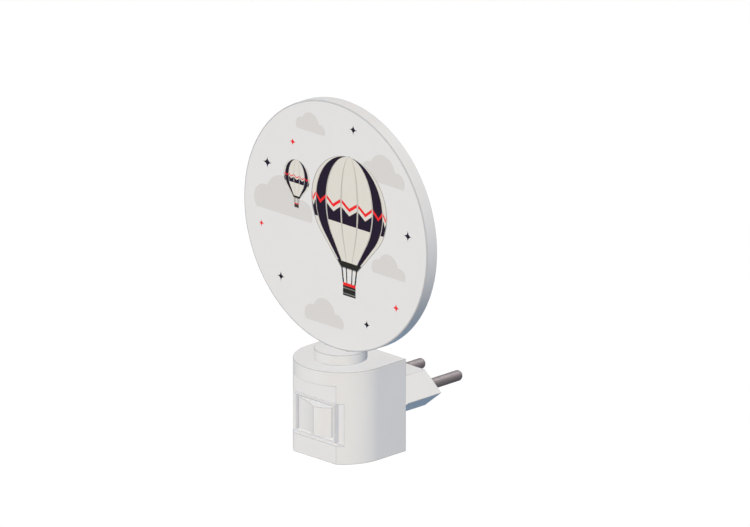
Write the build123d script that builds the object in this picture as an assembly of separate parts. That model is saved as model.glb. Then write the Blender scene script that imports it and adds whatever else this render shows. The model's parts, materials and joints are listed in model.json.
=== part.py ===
from build123d import *
import math
import os

# Night light that plugs straight into a wall socket. A round-fronted housing carries a rocker switch in
# front, a two-pin plug behind, and a collar on top in which an opal disc stands on its edge.
# Frame: the origin is the centre of the plug's engagement face, between the pins. +Y points into the wall,
# +Z points up and +X to the right of someone who faces the light. Sizes are in millimetres.

# Housing
body_width = 36.2
body_height = 35.4
body_rear = 14.4  # from the axis of the round front to the rear face
wall = 2.0
flat_inset = 3.65  # flat face behind the foremost line of the round front
brow_height = 5.55  # full round that is left above the flat face
body_edge = 0.3

# Channel across the flat face, in which the switch sits
channel_above = 0.3  # from the bezel of the switch to the upper edge of the channel
channel_below = 0.8
channel_depth = 2.0
panel_wall = 2.0

# Rear cover with the plug nose
cover_thickness = 2.6
cover_rim = 1.2
cover_gap = 0.1
plug_reach = 17.4
plug_width = 38.0
plug_flat = 21.0
plug_height = 13.7
plug_wall = 1.8
plug_end_wall = 3.0
plug_edge = 0.4
plug_drop = 17.0  # plug axis below the top of the housing

# Plug pins
pin_diameter = 4.0
pin_length = 19.0
pin_spacing = 19.0
pin_tip_radius = 1.6
pin_root_diameter = 4.8
pin_flange_diameter = 6.8
pin_flange_thickness = 1.2
pin_tail_diameter = 2.4
pin_boss_wall = 1.2
pin_boss_depth = 4.0
pin_gap = 0.03

# Cover screws and their bosses
screw_head_diameter = 4.0
screw_head_height = 1.3
screw_head_edge = 0.3
screw_core_diameter = 1.6
screw_length = 8.0
screw_clearance = 0.2
pilot_gap = 0.05
boss_diameter = 4.8
boss_sink = 0.3  # how deep a boss runs into the side wall
boss_length = 10.0
screw_from_top = 6.2
screw_from_bottom = 5.6
recess_width = 0.6
recess_depth = 0.7
recess_rim = 0.6  # from the ends of the cross recess to the rim of the head

# Neck collar and disc
neck_diameter = 19.5
neck_height = 3.9
neck_forward = 1.1  # collar axis in front of the axis of the round front
neck_edge = 0.4
spigot_diameter = 16.0
spigot_depth = 4.4
neck_gap = 0.1
hook_reach = 0.8
hook_width = 5.0
hook_lip = 0.5
slit_width = 0.6
slit_below_top = 1.0  # end of a slit below the top of the housing
disc_diameter = 94.0
disc_thickness = 5.2
disc_edge = 0.4
foot_width = 12.0
foot_rise = 1.5
foot_setback = 0.8  # foot behind each face of the disc
foot_gap = 0.1

# Light source under the foot of the disc
led_board_margin = 0.5  # edge of the LED board inside the edge of the spigot
led_board_thickness = 1.0
led_width = 3.5
led_depth = 2.8
led_height = 0.8
led_gap = 0.4  # between the chips and the foot of the disc
led_pitch = 6.0
lens_diameter = 2.2
lens_depth = 0.2
stake_diameter = 1.6
stake_head_diameter = 2.6
stake_head_height = 0.7
stake_inset = 2.5  # stakes inside the edge of the LED board
stake_gap = 0.1
lead_diameter = 1.0
lead_spread = 8.0
lead_bend = 2.8
lead_set_back = 3.4  # LED end of a lead behind the collar axis
lead_below_edge = 1.2  # driver end of a lead below the upper edge of the driver board

# Rocker switch
switch_drop = 20.0  # switch axis below the top of the housing
case_width = 19.0
case_height = 13.6
case_depth = 10.5
case_side = 0.9  # walls at the ends of the rocker
case_cheek = 0.95  # walls that carry the trunnions
bezel_side = 0.8  # bezel beyond the case
bezel_rim = 0.6  # bezel above and below the case
bezel_edge = 0.15
mouth_step = 0.6  # mouth of the bezel round the opening
mouth_depth = 1.3
case_back = 1.2
case_gap = 0.1
barb_reach = 0.6
barb_root = 0.3
barb_length = 2.4
barb_height = 5.0
pivot_depth = 2.5  # rocker axis behind the flat face
pivot_gap = 0.05
trunnion_diameter = 2.2
trunnion_length = 0.8
rocker_gap = 0.25
rocker_end_gap = 0.15
rocker_wall = 1.4
rocker_skirt = 1.5
dished_end_recess = 0.75
domed_end_recess = 0.6
ridge_offset = 2.2
ridge_proud = 2.9
dish_sagitta = 0.5
dome_sagitta = 0.55
rocker_swing = 11.0  # degrees from the stop shown to the other stop
post_diameter = 3.8
post_reach = 4.4
bore_diameter = 2.2
bore_front = 1.6
plunger_diameter = 1.9
plunger_back = 2.6
plunger_tip_radius = 0.8
tip_gap = 0.1
spring_diameter = 1.9
spring_wire = 0.3
spring_wire_sides = 6
spring_turns = 5

# See-saw contact and terminals
bridge_swing = 10.0  # degrees, opposite to the rocker
bridge_from_back = 1.4  # see-saw axis in front of the case's back wall
bridge_left = 6.2
bridge_right = 4.6
bridge_width = 4.0
bridge_thickness = 0.5
bridge_gap = 0.05
button_diameter = 2.0
button_height = 0.4
contact_reach = 5.0
contact_gap = 0.2
head_plate = 3.0
head_plate_thickness = 0.4
blade_thickness = 0.8
blade_width = 4.0
blade_out = 2.0
blade_gap = 0.05
prong_width = 0.7
prong_length = 1.5
notch_width = 1.4
notch_gap = 0.1
tail_width = 1.2
tail_out = 0.6

# Driver board and its parts
board_side_gap = 1.6  # from the board to the side walls
board_boss_gap = 0.4  # from the board to the screw bosses above and below it
board_thickness = 1.6
board_gap = 0.1
post_height = 2.0
board_post_diameter = 3.0
board_post_spread = 14.0
board_post_drop = 1.5  # posts below the upper edge of the board
board_screw_head = 2.6
board_screw_head_height = 0.9
board_screw_core = 1.0
board_screw_grip = 3.0
stand_off = 0.8
wire_diameter = 0.6
film_thickness = 4.8
film_length = 8.6
film_height = 10.0
film_edge = 0.6
film_wall_gap = 0.6
film_pitch = 6.0
can_diameter = 5.0
can_length = 9.0
can_wall_gap = 0.8
can_rise = 5.6  # can axis above the lower edge of the board
can_edge = 0.5
can_groove = 0.25
can_groove_width = 0.6
can_groove_rise = 1.0  # groove above the base of the can
can_pitch = 2.0
rectifier_width = 4.7
rectifier_height = 3.8
rectifier_thickness = 2.5
rectifier_x = -1.4
rectifier_z = 3.2
rectifier_edge = 0.3
rectifier_lift = 0.15
leg_width = 0.7
leg_length = 0.9
leg_thickness = 0.3
leg_pitch = 2.5
fuse_length = 6.0
fuse_diameter = 2.6
fuse_x = 5.2
fuse_z = 0.8
bleeder_length = 4.2
bleeder_diameter = 1.8
bleeder_x = 2.4
bleeder_z = 0.2
lead_room = 0.8  # straight wire between a resistor's end and its bend
resistor_bend = 0.7
resistor_edge = 0.4

# Places that follow from the sizes above
half_width = body_width / 2
axis_y = -(plug_reach + body_rear)
rear_y = -plug_reach
cover_y = rear_y - cover_thickness
top_z = plug_drop
bottom_z = top_z - body_height
flat_y = axis_y - half_width + flat_inset
channel_y = flat_y + channel_depth
panel_y = channel_y + panel_wall
neck_y = axis_y - neck_forward
spigot_z = top_z - spigot_depth
foot_z = spigot_z + led_height + led_gap
foot_thickness = disc_thickness - 2 * foot_setback
disc_z = top_z + neck_height + disc_diameter / 2
led_board_diameter = spigot_diameter - 2 * led_board_margin
led_board_z = spigot_z - led_board_thickness
stake_spread = led_board_diameter - 2 * stake_inset
switch_z = top_z - switch_drop
frame_width = case_width + 2 * bezel_side
frame_height = case_height + 2 * bezel_rim
opening_width = case_width - 2 * case_side
opening_height = case_height - 2 * case_cheek
channel_z = (switch_z - frame_height / 2 - channel_below, switch_z + frame_height / 2 + channel_above)
pivot_y = flat_y + pivot_depth
case_y = channel_y + case_depth
case_floor_y = case_y - case_back
bridge_y = case_floor_y - bridge_from_back
board_rear_y = cover_y - post_height
board_front_y = board_rear_y - board_thickness
tail_end_y = board_rear_y + tail_out
screw_x = half_width - wall - boss_diameter / 2 + boss_sink
screw_heights = (top_z - screw_from_top, bottom_z + screw_from_bottom)
screw_places = [(x, z) for x in (-screw_x, screw_x) for z in screw_heights]
board_width = body_width - 2 * (wall + board_side_gap)
boss_room = boss_diameter / 2 + board_boss_gap
board_z = (screw_heights[1] + boss_room, screw_heights[0] - boss_room)
board_screw_places = [(side * board_post_spread / 2, board_z[1] - board_post_drop) for side in (-1, 1)]
film_place = (half_width - wall - film_wall_gap - film_thickness / 2, sum(board_z) / 2)
can_place = (-(half_width - wall - can_wall_gap - can_diameter / 2), board_z[0] + can_rise)
rocker_height = opening_height - 2 * rocker_gap
rocker_end = opening_width / 2 - rocker_end_gap
post_frame = Pos(0, pivot_y, switch_z) * Rot(Z=-rocker_swing / 2)
bridge_offset = blade_thickness / 2 + bridge_gap
plunger_tip = bridge_y - bridge_offset - bridge_thickness - tip_gap - pivot_y


def both(size):
    """The pair of coordinates that a centred size reaches."""
    return (-size / 2, size / 2)


def about(centre, size):
    """The pair of coordinates of a size about a centre."""
    return (centre - size / 2, centre + size / 2)


def block(x, y, z):
    """A box between pairs of coordinates."""
    middle = Pos((x[0] + x[1]) / 2, (y[0] + y[1]) / 2, (z[0] + z[1]) / 2)
    return middle * Box(x[1] - x[0], y[1] - y[0], z[1] - z[0])


def rod_y(diameter, y0, y1, x=0, z=0):
    """A round rod along Y."""
    return Pos(x, (y0 + y1) / 2, z) * Rot(X=90) * Cylinder(diameter / 2, y1 - y0)


def rod_z(diameter, z0, z1, x=0, y=0):
    """A round rod along Z."""
    return Pos(x, y, (z0 + z1) / 2) * Cylinder(diameter / 2, z1 - z0)


def upright(face, z):
    """A face of the plan view, raised between two heights."""
    return extrude(Pos(0, 0, z[0]) * face, amount=z[1] - z[0], dir=(0, 0, 1))


def bent_wire(points, bend, diameter):
    """A round wire along straight runs joined by arcs."""
    route = FilletPolyline(*points, radius=bend)
    section = Plane(origin=route @ 0, z_dir=route % 0) * Circle(diameter / 2)
    return sweep(section, path=route)


def horseshoe(radius, rear):
    """The housing's plan: a half circle in front, straight sides and a flat rear."""
    sides = Polyline((radius, axis_y), (radius, rear), (-radius, rear), (-radius, axis_y))
    front = ThreePointArc((-radius, axis_y), (0, axis_y - radius), (radius, axis_y))
    return make_face([*sides.edges(), *front.edges()])


def make_front_housing():
    full_x = both(body_width)
    front = axis_y - half_width
    shell = upright(horseshoe(half_width, rear_y), (bottom_z, top_z))
    caps = shell.faces().sort_by(Axis.Z)
    shell = fillet(caps[0].edges() + caps[-1].edges(), body_edge)
    shell -= block(full_x, (front, flat_y), (bottom_z, top_z - brow_height))
    shell -= block(full_x, (front, channel_y), channel_z)
    cavity = upright(horseshoe(half_width - wall, rear_y + wall), (bottom_z + wall, top_z - wall))
    cavity -= block(full_x, (front, flat_y + wall), (bottom_z, top_z - brow_height + wall))
    cavity -= block(full_x, (front, panel_y), (channel_z[0] - wall, channel_z[1] + wall))
    shell -= cavity
    seat_z = (bottom_z + cover_rim, top_z - cover_rim)
    shell -= block(both(body_width - 2 * cover_rim), (cover_y, rear_y), seat_z)
    for x, z in screw_places:
        shell += rod_y(boss_diameter, cover_y - boss_length, cover_y, x, z)
    for x, z in screw_places:
        pilot_end = rear_y - screw_head_height - screw_length - pilot_gap
        shell -= rod_y(screw_core_diameter + 2 * pilot_gap, pilot_end, cover_y, x, z)
    shell -= rod_z(spigot_diameter + 2 * neck_gap, top_z - wall, top_z, 0, neck_y)
    window_z = about(switch_z, case_height + 2 * case_gap)
    return shell - block(both(case_width + 2 * case_gap), (channel_y, panel_y), window_z)


def plug_section(y, inset):
    """The plug's six-sided section at a depth, drawn in by an inset."""
    corners = [(plug_width / 2, 0), (plug_flat / 2, plug_height / 2), (-plug_flat / 2, plug_height / 2)]
    corners += [(-x, -z) for x, z in corners]
    section = make_face(Polyline(*corners, close=True))
    if inset:
        section = offset(section, amount=-inset)
    return Pos(0, y, 0) * (Plane.XZ * section)


def make_rear_cover():
    inset = cover_rim + cover_gap
    plate = block(both(body_width - 2 * inset), (cover_y, rear_y), (bottom_z + inset, top_z - inset))
    nose = extrude(plug_section(rear_y, 0), amount=plug_reach, dir=(0, 1, 0))
    nose = fillet(nose.edges().filter_by(Axis.Y) + nose.faces().sort_by(Axis.Y)[-1].edges(), plug_edge)
    hollow_depth = -plug_end_wall - cover_y
    cover = plate + nose - extrude(plug_section(cover_y, plug_wall), amount=hollow_depth, dir=(0, 1, 0))
    boss_end = -plug_end_wall - pin_boss_depth
    for x in both(pin_spacing):
        cover += rod_y(pin_root_diameter + 2 * pin_boss_wall, boss_end, -plug_end_wall, x)
        cover -= rod_y(pin_root_diameter + 2 * pin_gap, boss_end, 0, x)
    for x, z in board_screw_places:
        cover += rod_y(board_post_diameter, board_rear_y, cover_y, x, z)
        pilot_end = board_front_y + board_screw_grip + pilot_gap
        cover -= rod_y(board_screw_core + 2 * pilot_gap, board_rear_y, pilot_end, x, z)
    for x, z in screw_places:
        cover -= rod_y(screw_core_diameter + 2 * screw_clearance, cover_y, rear_y, x, z)
        cover -= rod_y(screw_head_diameter + 2 * screw_clearance, rear_y - screw_head_height, rear_y, x, z)
    return cover


def make_screw(head, head_height, core, length):
    """A pan-head screw along Y, its head's seat at Y = 0 and its point towards -Y."""
    cap = rod_y(head, 0, head_height)
    cap = chamfer(cap.edges().sort_by(Axis.Y)[-1], screw_head_edge)
    arm = block(both(head - 2 * recess_rim), (head_height - recess_depth, head_height), both(recess_width))
    cap -= arm + Rot(Y=90) * arm
    return cap + rod_y(core, -length, 0)


def make_cover_screws():
    screw = make_screw(screw_head_diameter, screw_head_height, screw_core_diameter, screw_length)
    return [Pos(x, rear_y - screw_head_height, z) * screw for x, z in screw_places]


def make_board_screws():
    screw = make_screw(board_screw_head, board_screw_head_height, board_screw_core, board_screw_grip)
    return [Pos(x, board_front_y, z) * Rot(Z=180) * screw for x, z in board_screw_places]


def make_plug_pin(side):
    x = side * pin_spacing / 2
    shaft = rod_y(pin_diameter, 0, pin_length, x)
    shaft = fillet(shaft.edges().sort_by(Axis.Y)[-1], pin_tip_radius)
    flange_y = -plug_end_wall - pin_boss_depth
    root = rod_y(pin_root_diameter, flange_y, 0, x)
    flange = rod_y(pin_flange_diameter, flange_y - pin_flange_thickness, flange_y, x)
    tail = rod_y(pin_tail_diameter, board_front_y - tail_out, flange_y - pin_flange_thickness, x)
    return shaft + root + flange + tail


def make_neck_collar():
    collar = rod_z(neck_diameter, top_z, top_z + neck_height, 0, neck_y)
    collar = fillet(collar.edges().sort_by(Axis.Z)[-1], neck_edge)
    collar += rod_z(spigot_diameter, spigot_z, top_z, 0, neck_y)
    slot_x = foot_width / 2 + foot_gap
    spigot = spigot_diameter / 2
    hook_z = top_z - wall - neck_gap
    slit_z = (spigot_z, top_z - slit_below_top)
    outline = [(slot_x, hook_z), (spigot + hook_reach, hook_z), (spigot + hook_reach, hook_z - hook_lip)]
    outline += [(spigot, spigot_z), (slot_x, spigot_z)]
    hook = extrude(Plane.XZ * make_face(Polyline(*outline, close=True)), amount=hook_width / 2, both=True)
    for turn in (0, 180):
        collar += Pos(0, neck_y, 0) * Rot(Z=turn) * hook
        for y in both(hook_width + slit_width):
            slit = block((slot_x, spigot + hook_reach), about(y, slit_width), slit_z)
            collar -= Pos(0, neck_y, 0) * Rot(Z=turn) * slit
    slot_y = about(neck_y, foot_thickness + 2 * foot_gap)
    collar -= block(both(2 * slot_x), slot_y, (spigot_z, top_z + neck_height))
    for y in about(neck_y, stake_spread):
        collar += rod_z(stake_diameter, led_board_z, spigot_z, 0, y)
        collar += rod_z(stake_head_diameter, led_board_z - stake_head_height, led_board_z, 0, y)
    return collar


def make_light_disc():
    disc = rod_y(disc_diameter, *about(neck_y, disc_thickness), 0, disc_z)
    disc = fillet(disc.edges().filter_by(GeomType.CIRCLE), disc_edge)
    foot_top = disc_z - disc_diameter / 2 + foot_rise
    return disc + block(both(foot_width), about(neck_y, foot_thickness), (foot_z, foot_top))


def make_led_board():
    board = rod_z(led_board_diameter, led_board_z, spigot_z, 0, neck_y)
    for y in about(neck_y, stake_spread):
        board -= rod_z(stake_diameter + 2 * stake_gap, led_board_z, spigot_z, 0, y)
    return board


def make_led_chips():
    chips = []
    for x in both(led_pitch):
        chip = block(about(x, led_width), about(neck_y, led_depth), (spigot_z, spigot_z + led_height))
        chip -= rod_z(lens_diameter, spigot_z + led_height - lens_depth, spigot_z + led_height, x, neck_y)
        chips.append(chip)
    return chips


def make_led_leads():
    low = board_z[1] - lead_below_edge
    turn_y = neck_y + lead_set_back
    leads = []
    for x in both(lead_spread):
        route = [(x, board_front_y, low), (x, turn_y, low), (x, turn_y, led_board_z)]
        leads.append(bent_wire(route, lead_bend, lead_diameter))
    return leads


def make_switch_frame():
    bezel = block(both(frame_width), (flat_y, channel_y), about(switch_z, frame_height))
    bezel = chamfer(bezel.faces().sort_by(Axis.Y)[0].edges(), bezel_edge)
    frame = bezel + block(both(case_width), (channel_y, case_y), about(switch_z, case_height))
    frame -= block(both(opening_width), (flat_y, case_floor_y), about(switch_z, opening_height))
    mouth_z = about(switch_z, opening_height + 2 * mouth_step)
    frame -= block(both(opening_width + 2 * mouth_step), (flat_y, flat_y + mouth_depth), mouth_z)
    frame -= rod_z(trunnion_diameter + 2 * pivot_gap, *about(switch_z, case_height), 0, pivot_y)
    slot_width = blade_width + 2 * blade_gap
    for x in (0, -contact_reach):
        slot_x = about(x, blade_thickness + 2 * blade_gap)
        frame -= block(slot_x, (case_floor_y, case_y), about(switch_z, slot_width))
    side = case_width / 2
    start = panel_y + case_gap
    outline = [(side - barb_root, start), (side + barb_reach, start), (side, start + barb_length)]
    outline += [(side - barb_root, start + barb_length)]
    barb = upright(make_face(Polyline(*outline, close=True)), about(switch_z, barb_height))
    return frame + barb + mirror(barb, about=Plane.YZ)


def rocker_profile():
    """The rocker's plan: a dished half, a ridge, a domed half, and ends that turn about the pivot."""
    depth_left = pivot_depth - dished_end_recess
    depth_right = pivot_depth - domed_end_recess
    left = (-math.sqrt(rocker_end**2 - depth_left**2), pivot_y - depth_left)
    right = (math.sqrt(rocker_end**2 - depth_right**2), pivot_y - depth_right)
    ridge = (ridge_offset, flat_y - ridge_proud)
    skirt_x = math.sqrt(rocker_end**2 - rocker_skirt**2)
    skirt_y = pivot_y + rocker_skirt
    edges = [
        SagittaArc(left, ridge, dish_sagitta),
        SagittaArc(ridge, right, -dome_sagitta),
        ThreePointArc(right, (rocker_end, pivot_y), (skirt_x, skirt_y)),
        Line((skirt_x, skirt_y), (-skirt_x, skirt_y)),
        ThreePointArc((-skirt_x, skirt_y), (-rocker_end, pivot_y), left),
    ]
    return make_face([edge.edge() for edge in edges])


def make_switch_rocker():
    profile = rocker_profile()
    body = upright(profile, about(switch_z, rocker_height))
    inside = about(switch_z, rocker_height - 2 * rocker_wall)
    mouth = math.sqrt(rocker_end**2 - rocker_skirt**2) - rocker_wall
    cap = body - upright(offset(profile, amount=-rocker_wall), inside)
    cap -= block(both(2 * mouth), (pivot_y, pivot_y + rocker_skirt), inside)
    core = post_frame * rod_y(post_diameter, -pivot_depth - ridge_proud, 0)
    cap += core & body
    cap += post_frame * rod_y(post_diameter, 0, post_reach)
    cap -= post_frame * rod_y(bore_diameter, -bore_front, post_reach)
    stub = rod_z(trunnion_diameter, rocker_height / 2 - rocker_wall, rocker_height / 2 + trunnion_length)
    for turn in (0, 180):
        cap += Pos(0, pivot_y, switch_z) * Rot(X=turn) * stub
    return cap


def make_rocker_spring():
    height = bore_front + plunger_back - spring_wire
    path = Helix(pitch=height / spring_turns, height=height, radius=(spring_diameter - spring_wire) / 2)
    section = Plane(origin=path @ 0, z_dir=path % 0) * RegularPolygon(spring_wire / 2, spring_wire_sides)
    coil = sweep(section, path=path, is_frenet=True)
    return post_frame * Pos(0, -bore_front + spring_wire / 2, 0) * Rot(X=-90) * coil


def make_rocker_plunger():
    plunger = rod_y(plunger_diameter, plunger_back, plunger_tip)
    plunger = fillet(plunger.edges().sort_by(Axis.Y)[-1], plunger_tip_radius)
    return post_frame * plunger


def make_contact_bridge():
    front = -bridge_offset - bridge_thickness
    strip = block((-bridge_left, bridge_right), (front, -bridge_offset), both(bridge_width))
    notch_depth = prong_width + notch_gap
    for z in both(bridge_width - notch_depth):
        strip -= block(both(notch_width), (front, -bridge_offset), about(z, notch_depth))
    strip += rod_y(button_diameter, -bridge_offset, button_height - bridge_offset, -contact_reach)
    return Pos(0, bridge_y, switch_z) * Rot(Z=bridge_swing / 2) * strip


def make_terminal(x, start_y):
    """A terminal's blade through the case's back, narrowing to the tail that is soldered to the board."""
    thickness = about(x, blade_thickness)
    blade = block(thickness, (start_y, case_y + blade_out), about(switch_z, blade_width))
    return blade + block(thickness, (case_y + blade_out, tail_end_y), about(switch_z, tail_width))


def make_centre_terminal():
    saddle_width = bridge_width - 2 * prong_width
    terminal = make_terminal(0, bridge_y)
    terminal += rod_z(blade_thickness, *about(switch_z, saddle_width), 0, bridge_y)
    for z in about(switch_z, blade_width - prong_width):
        terminal += block(both(blade_thickness), (bridge_y - prong_length, bridge_y), about(z, prong_width))
    return terminal


def make_switched_terminal():
    lean = math.radians(bridge_swing / 2)
    closed = contact_reach * math.sin(lean) + (button_height - bridge_offset) * math.cos(lean)
    plate_y = case_floor_y - head_plate_thickness
    plate = block(about(-contact_reach, head_plate), (plate_y, case_floor_y), about(switch_z, head_plate))
    button = rod_y(button_diameter, bridge_y + closed + contact_gap, plate_y, -contact_reach, switch_z)
    return make_terminal(-contact_reach, case_floor_y) + plate + button


def make_driver_board():
    thickness = (board_front_y, board_rear_y)
    board = block(both(board_width), thickness, board_z)
    for x in both(pin_spacing):
        board -= rod_y(pin_tail_diameter + 2 * board_gap, *thickness, x)
    for x, z in board_screw_places:
        board -= rod_y(board_screw_core + 2 * screw_clearance, *thickness, x, z)
    for x in (0, -contact_reach):
        tail_x = about(x, blade_thickness + 2 * board_gap)
        board -= block(tail_x, thickness, about(switch_z, tail_width + 2 * board_gap))
    return board


def make_film_capacitor():
    x, middle = film_place
    rear = board_front_y - stand_off
    body = block(about(x, film_thickness), (rear - film_length, rear), about(middle, film_height))
    body = chamfer(body.edges(), film_edge)
    for z in about(middle, film_pitch):
        body += rod_y(wire_diameter, rear - film_edge, board_front_y, x, z)
    return body


def make_smoothing_capacitor():
    x, middle = can_place
    rear = board_front_y - stand_off
    can = rod_y(can_diameter, rear - can_length, rear, x, middle)
    can = chamfer(can.edges().filter_by(GeomType.CIRCLE), can_edge)
    groove = (rear - can_groove_rise - can_groove_width, rear - can_groove_rise)
    waist = rod_y(can_diameter - 2 * can_groove, *groove, x, middle)
    can -= rod_y(can_diameter, *groove, x, middle) - waist
    for z in about(middle, can_pitch):
        can += rod_y(wire_diameter, rear, board_front_y, x, z)
    return can


def make_bridge_rectifier():
    foot_y = (board_front_y - leg_thickness, board_front_y)
    body_y = (board_front_y - rectifier_thickness, board_front_y - rectifier_lift)
    body = block(about(rectifier_x, rectifier_width), body_y, about(rectifier_z, rectifier_height))
    body = chamfer(body.faces().sort_by(Axis.Y)[0].edges(), rectifier_edge)
    for x in about(rectifier_x, leg_pitch):
        legs_z = about(rectifier_z, rectifier_height + 2 * leg_length)
        body += block(about(x, leg_width), foot_y, legs_z)
    return body


def make_resistor(x, z, length, diameter):
    """An axial resistor along Z, with its wires bent down to the board."""
    y = board_front_y - stand_off - diameter / 2
    body = rod_z(diameter, *about(z, length), x, y)
    body = chamfer(body.edges().filter_by(GeomType.CIRCLE), resistor_edge)
    ends = about(z, length + 2 * (lead_room + resistor_bend))
    route = [(x, board_front_y, ends[0]), (x, y, ends[0]), (x, y, ends[1]), (x, board_front_y, ends[1])]
    return body + bent_wire(route, resistor_bend, wire_diameter)


nodes = {
    "front_housing": make_front_housing(),
    "rear_cover": make_rear_cover(),
    "cover_screws": make_cover_screws(),
    "neck_collar": make_neck_collar(),
    "light_disc": make_light_disc(),
    "led_board": make_led_board(),
    "led_chips": make_led_chips(),
    "led_leads": make_led_leads(),
    "switch_frame": make_switch_frame(),
    "switch_rocker": make_switch_rocker(),
    "rocker_spring": make_rocker_spring(),
    "rocker_plunger": make_rocker_plunger(),
    "contact_bridge": make_contact_bridge(),
    "centre_terminal": make_centre_terminal(),
    "switched_terminal": make_switched_terminal(),
    "plug_pin_left": make_plug_pin(-1),
    "plug_pin_right": make_plug_pin(1),
    "driver_board": make_driver_board(),
    "board_screws": make_board_screws(),
    "film_capacitor": make_film_capacitor(),
    "smoothing_capacitor": make_smoothing_capacitor(),
    "bridge_rectifier": make_bridge_rectifier(),
    "fusible_resistor": make_resistor(fuse_x, fuse_z, fuse_length, fuse_diameter),
    "discharge_resistor": make_resistor(bleeder_x, bleeder_z, bleeder_length, bleeder_diameter),
}

os.makedirs("parts", exist_ok=True)
for name, shape in nodes.items():
    piece = Compound(children=shape) if isinstance(shape, list) else shape
    export_step(piece, f"parts/{name}.step")
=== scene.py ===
import json
import math

import bmesh
import bpy
from bpy.props import FloatProperty, FloatVectorProperty, IntProperty, PointerProperty
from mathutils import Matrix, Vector


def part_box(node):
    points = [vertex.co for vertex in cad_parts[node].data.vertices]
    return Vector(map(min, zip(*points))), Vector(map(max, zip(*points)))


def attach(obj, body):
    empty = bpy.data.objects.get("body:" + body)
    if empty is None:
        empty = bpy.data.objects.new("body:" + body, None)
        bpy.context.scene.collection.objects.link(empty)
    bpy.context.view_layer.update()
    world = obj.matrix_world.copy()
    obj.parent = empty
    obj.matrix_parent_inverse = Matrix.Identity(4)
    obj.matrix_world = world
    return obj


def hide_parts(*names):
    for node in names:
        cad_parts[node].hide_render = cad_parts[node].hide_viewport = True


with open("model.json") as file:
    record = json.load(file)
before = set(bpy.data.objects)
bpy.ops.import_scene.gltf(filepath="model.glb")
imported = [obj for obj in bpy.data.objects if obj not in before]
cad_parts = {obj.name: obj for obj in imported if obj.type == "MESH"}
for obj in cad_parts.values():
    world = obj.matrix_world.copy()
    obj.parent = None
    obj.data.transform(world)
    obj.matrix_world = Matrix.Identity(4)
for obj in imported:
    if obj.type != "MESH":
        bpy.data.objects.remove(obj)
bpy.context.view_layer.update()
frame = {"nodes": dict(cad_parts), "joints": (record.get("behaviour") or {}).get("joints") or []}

bl_info = {
    "name": "Plug-in night light",
    "version": (1, 0, 0),
    "blender": (4, 5, 0),
    "location": "3D View > Sidebar > Night light",
    "description": "Models and finishes the pieces of a plug-in night light and sets up its stage",
    "category": "Add Mesh",
}

SPARE = 0.001  # how far a cutting tool reaches past what it cuts
NEAR = 0.00002  # two places closer than this are the same place
FACING = 0.99  # least part of a normal that points along an axis
SHARP = math.radians(28)  # least turn at an edge that is rounded
SMOOTH = math.radians(32)  # most turn at an edge that is shaded smooth
FLAT = math.radians(0.5)  # most turn between faces that are one plane
SIXTH = math.radians(60)
THOUSAND = 1000.0  # millimetres in a metre
SECOND, THIRD = 1, 2  # numbers of a piece's finishes after the first
ROUNDED, SOFTENED, SLOPED = 3, 2, 1  # faces across a rounded edge

# Faces round a full turn
SHAFT_STEPS = 24
TRUNNION_STEPS = 32
BOSS_STEPS = 40
PIN_STEPS = 48
SPIGOT_STEPS = 64
COLLAR_STEPS = 96
ROCKER_STEPS = 160
DOME_STEPS = 180
DISH_STEPS = 480
TIP_STEPS = 8  # on the rounding of a pin's tip alone

joints = {joint["name"]: joint for joint in frame["joints"]}
rocker_pivot = Vector(joints["rocker_tilt"]["pos_m"])


def length(name, description, millimetres):
    """A size that the sidebar shows as a length."""
    return FloatProperty(
        name=name,
        description=description,
        default=millimetres / THOUSAND,
        min=0.0,
        precision=5,
        unit="LENGTH",
        subtype="DISTANCE",
    )


def colour(name, description, value):
    """A linear colour that the sidebar shows as a swatch."""
    return FloatVectorProperty(
        name=name, description=description, default=value, size=3, min=0.0, max=1.0, subtype="COLOR"
    )


def share(name, description, value):
    """A plain number between nothing and all."""
    return FloatProperty(
        name=name, description=description, default=value, min=0.0, max=1.0, subtype="FACTOR"
    )


def angle(name, description, degrees):
    """An angle, kept in radians and shown in degrees."""
    turn = math.radians(degrees)
    return FloatProperty(
        name=name, description=description, default=turn, unit="ROTATION", subtype="ANGLE"
    )


def count(name, description, number):
    """A number of faces round a full turn."""
    return IntProperty(name=name, description=description, default=number, min=24)


class HousingSizes(bpy.types.PropertyGroup):
    """Sizes of the moulded housing and of the cover that closes it."""

    wall: length("Wall", "Thickness of the housing's walls", 2.0)
    brow: length("Brow", "Full round that is left above the flat face", 5.55)
    channel_depth: length("Channel depth", "Depth of the cross channel below the flat face", 2.0)
    channel_above: length("Channel above", "Channel above the bezel of the switch", 0.3)
    channel_below: length("Channel below", "Channel below the bezel of the switch", 0.8)
    cover_rim: length("Cover rim", "Rim of the housing round the rear cover", 1.2)
    cover_depth: length("Cover depth", "Thickness of the rear cover", 2.6)
    cover_gap: length("Cover gap", "Joint line round the rear cover", 0.1)
    edge: length("Edge", "Rounding of the housing's outer edges", 0.25)
    boss_radius: length("Boss radius", "Half the width of the bosses for the cover screws", 2.4)
    boss_length: length("Boss length", "Length of the bosses for the cover screws", 10.0)
    round_steps: count("Round steps", "Faces round a full turn of the housing", 112)


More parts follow.
